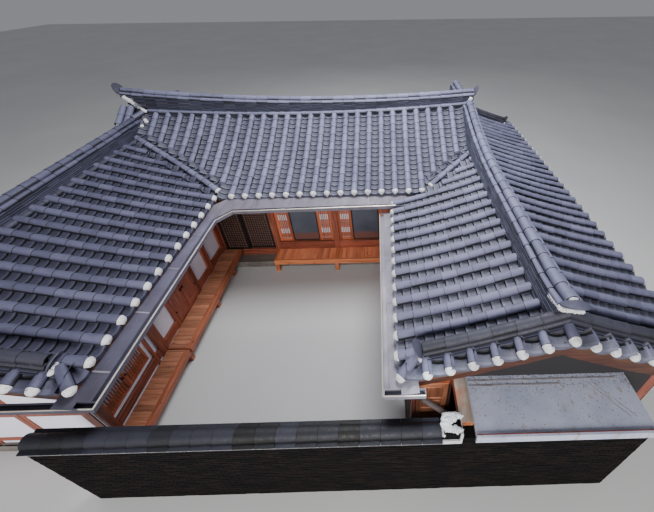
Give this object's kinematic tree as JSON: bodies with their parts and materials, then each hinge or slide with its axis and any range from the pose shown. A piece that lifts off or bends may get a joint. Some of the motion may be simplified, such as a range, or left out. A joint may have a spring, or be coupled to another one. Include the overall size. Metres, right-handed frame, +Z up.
{
  "type": "hanok house",
  "caption": "U-shaped timber-framed courtyard house with tiled gable roofs, sliding and hinged doors, porches, gutters and a walled front",
  "frame": {"origin": "on the ground under the main roof's ridge, midway between the two front valleys", "axes": "+Z up, +Y to the rear of the house, +X to the right seen from the courtyard"},
  "size_m": [12.816, 9.905, 4.777],
  "materials": {
    "stone": "rough grey stone",
    "floor_boards": "worn varnish",
    "timber": "orange-brown varnish with knots",
    "dark_timber": "weathered brown stain",
    "plaster": "smooth white lime plaster",
    "roof_tile": "matt blue-grey fired clay, white lime at the row ends",
    "sheet_metal": "dull galvanised",
    "window_lattice": "varnished lattice with paper and dark glass behind",
    "dark_lattice": "near-black stain",
    "plank_door": "brown varnish",
    "panel_door": "orange varnish",
    "brick": "dark brick",
    "white_sheet": "white paint with rust specks"
  },
  "bodies": {
    "house": {"main_base": "stone", "left_base": "stone", "right_base": "stone", "main_floor": "floor_boards", "left_floor": "floor_boards", "right_floor": "floor_boards", "main_front_wall": "timber", "main_door_head": "timber", "main_front_frame": "timber", "left_inner_wall_front": "plaster", "left_inner_wall_rear": "plaster", "left_door_head": "timber", "left_inner_frame": "timber", "left_front_wall": "plaster", "left_outer_wall": "plaster", "rear_wall": "plaster", "right_outer_wall": "plaster", "right_front_wall": "plaster", "right_door_head": "timber", "right_inner_wall": "plaster", "right_inner_frame": "timber", "main_roof": "roof_tile", "left_roof": "roof_tile", "right_roof": "roof_tile", "main_ridge": "roof_tile", "left_front_ridge": "roof_tile", "left_rear_ridge": "roof_tile", "right_ridge": "roof_tile", "left_front_bargeboard": "dark_timber", "left_rear_bargeboard": "dark_timber", "right_front_bargeboard": "dark_timber", "right_rear_bargeboard": "dark_timber", "courtyard_gutter": "sheet_metal", "right_gutter": "sheet_metal", "downpipe": "sheet_metal", "main_porch": "timber", "left_porch": "timber", "main_window_left": "window_lattice", "main_window_right": "window_lattice", "left_window": "window_lattice", "right_window": "window_lattice", "front_wall": "brick", "front_wall_cap": "roof_tile", "lean_to_roof": "white_sheet", "lean_to_beam": "timber", "lean_to_side": "timber", "lean_to_end_wall": "brick"},
    "main_door_left": {"main_door_left": "dark_lattice"},
    "main_door_right": {"main_door_right": "dark_lattice"},
    "left_door_front": {"left_door_front": "plank_door"},
    "left_door_rear": {"left_door_rear": "plank_door"},
    "right_door": {"right_door": "panel_door"}
  },
  "joints": [
    {"name": "main_door_left_slide", "type": "slide", "parent": "house", "child": "main_door_left", "axis": [1, 0, 0], "range_m": [0, 0.6]},
    {"name": "main_door_right_slide", "type": "slide", "parent": "house", "child": "main_door_right", "axis": [-1, 0, 0], "range_m": [0, 0.6]},
    {"name": "left_door_front_hinge", "type": "hinge", "parent": "house", "child": "left_door_front", "pos_m": [-3.358, -4.342, 1.4], "axis": [0, 0, -1], "range_deg": [0, 90]},
    {"name": "left_door_rear_hinge", "type": "hinge", "parent": "house", "child": "left_door_rear", "pos_m": [-3.358, -3.478, 1.4], "axis": [0, 0, 1], "range_deg": [0, 90]},
    {"name": "right_door_hinge", "type": "hinge", "parent": "house", "child": "right_door", "pos_m": [1.837, -6.552, 1.1], "axis": [0, 0, -1], "range_deg": [0, 85]}
  ]
}
